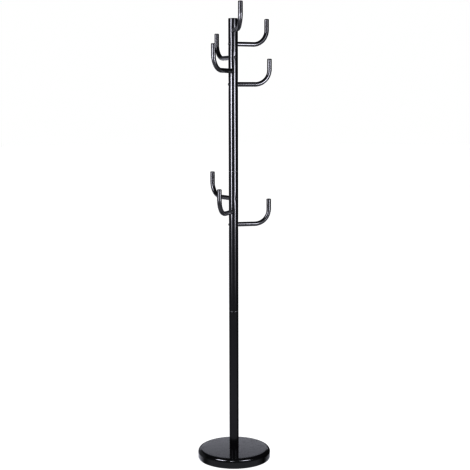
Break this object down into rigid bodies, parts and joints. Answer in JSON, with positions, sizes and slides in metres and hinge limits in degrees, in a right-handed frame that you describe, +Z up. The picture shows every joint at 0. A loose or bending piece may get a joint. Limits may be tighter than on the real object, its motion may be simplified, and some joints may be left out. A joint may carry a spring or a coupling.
{
  "type": "standing coat rack",
  "caption": "Freestanding coat rack with a weighted round base, a straight pole of joined tubes, and upturned tube hooks set around its upper half.",
  "frame": {"origin": "on the floor, under the axis of the pole", "axes": "+Z up along the pole; +X to the right and -Y towards the viewer, in the view where the highest hook points at the viewer"},
  "size_m": [0.2866, 0.2862, 1.7535],
  "materials": {
    "pole_enamel": "gloss black enamel on steel tube",
    "hook_enamel": "gloss black enamel on steel tube",
    "base_enamel": "gloss black enamel on pressed steel",
    "cap_plastic": "moulded black plastic",
    "black_screw": "black-finished steel screw",
    "plug_steel": "turned steel",
    "zinc_steel": "zinc-plated steel",
    "concrete": "cast concrete",
    "base_plate_plastic": "textured black plastic",
    "foot_rubber": "black rubber"
  },
  "bodies": {
    "root": {"base_cover": "base_enamel", "base_weight": "concrete", "base_plate": "base_plate_plastic", "foot_1": "foot_rubber", "foot_2": "foot_rubber", "foot_3": "foot_rubber", "foot_4": "foot_rubber", "base_bolt": "zinc_steel", "base_washer": "zinc_steel", "pole_foot_plug": "plug_steel", "lower_tube": "pole_enamel", "lower_joint_socket": "plug_steel", "lower_joint_stud": "plug_steel", "middle_tube": "pole_enamel", "upper_joint_socket": "plug_steel", "upper_joint_stud": "plug_steel", "upper_tube": "pole_enamel", "pole_cap": "cap_plastic", "hook_1": "hook_enamel", "hook_2": "hook_enamel", "hook_3": "hook_enamel", "hook_4": "hook_enamel", "hook_5": "hook_enamel", "hook_6": "hook_enamel", "hook_7": "hook_enamel", "hook_8": "hook_enamel", "hook_insert_1": "plug_steel", "hook_insert_2": "plug_steel", "hook_insert_3": "plug_steel", "hook_insert_4": "plug_steel", "hook_insert_5": "plug_steel", "hook_insert_6": "plug_steel", "hook_insert_7": "plug_steel", "hook_insert_8": "plug_steel", "hook_screw_1": "black_screw", "hook_screw_2": "black_screw", "hook_screw_3": "black_screw", "hook_screw_4": "black_screw", "hook_screw_5": "black_screw", "hook_screw_6": "black_screw", "hook_screw_7": "black_screw", "hook_screw_8": "black_screw", "hook_cap_1": "cap_plastic", "hook_cap_2": "cap_plastic", "hook_cap_3": "cap_plastic", "hook_cap_4": "cap_plastic", "hook_cap_5": "cap_plastic", "hook_cap_6": "cap_plastic", "hook_cap_7": "cap_plastic", "hook_cap_8": "cap_plastic"}
  },
  "joints": []
}
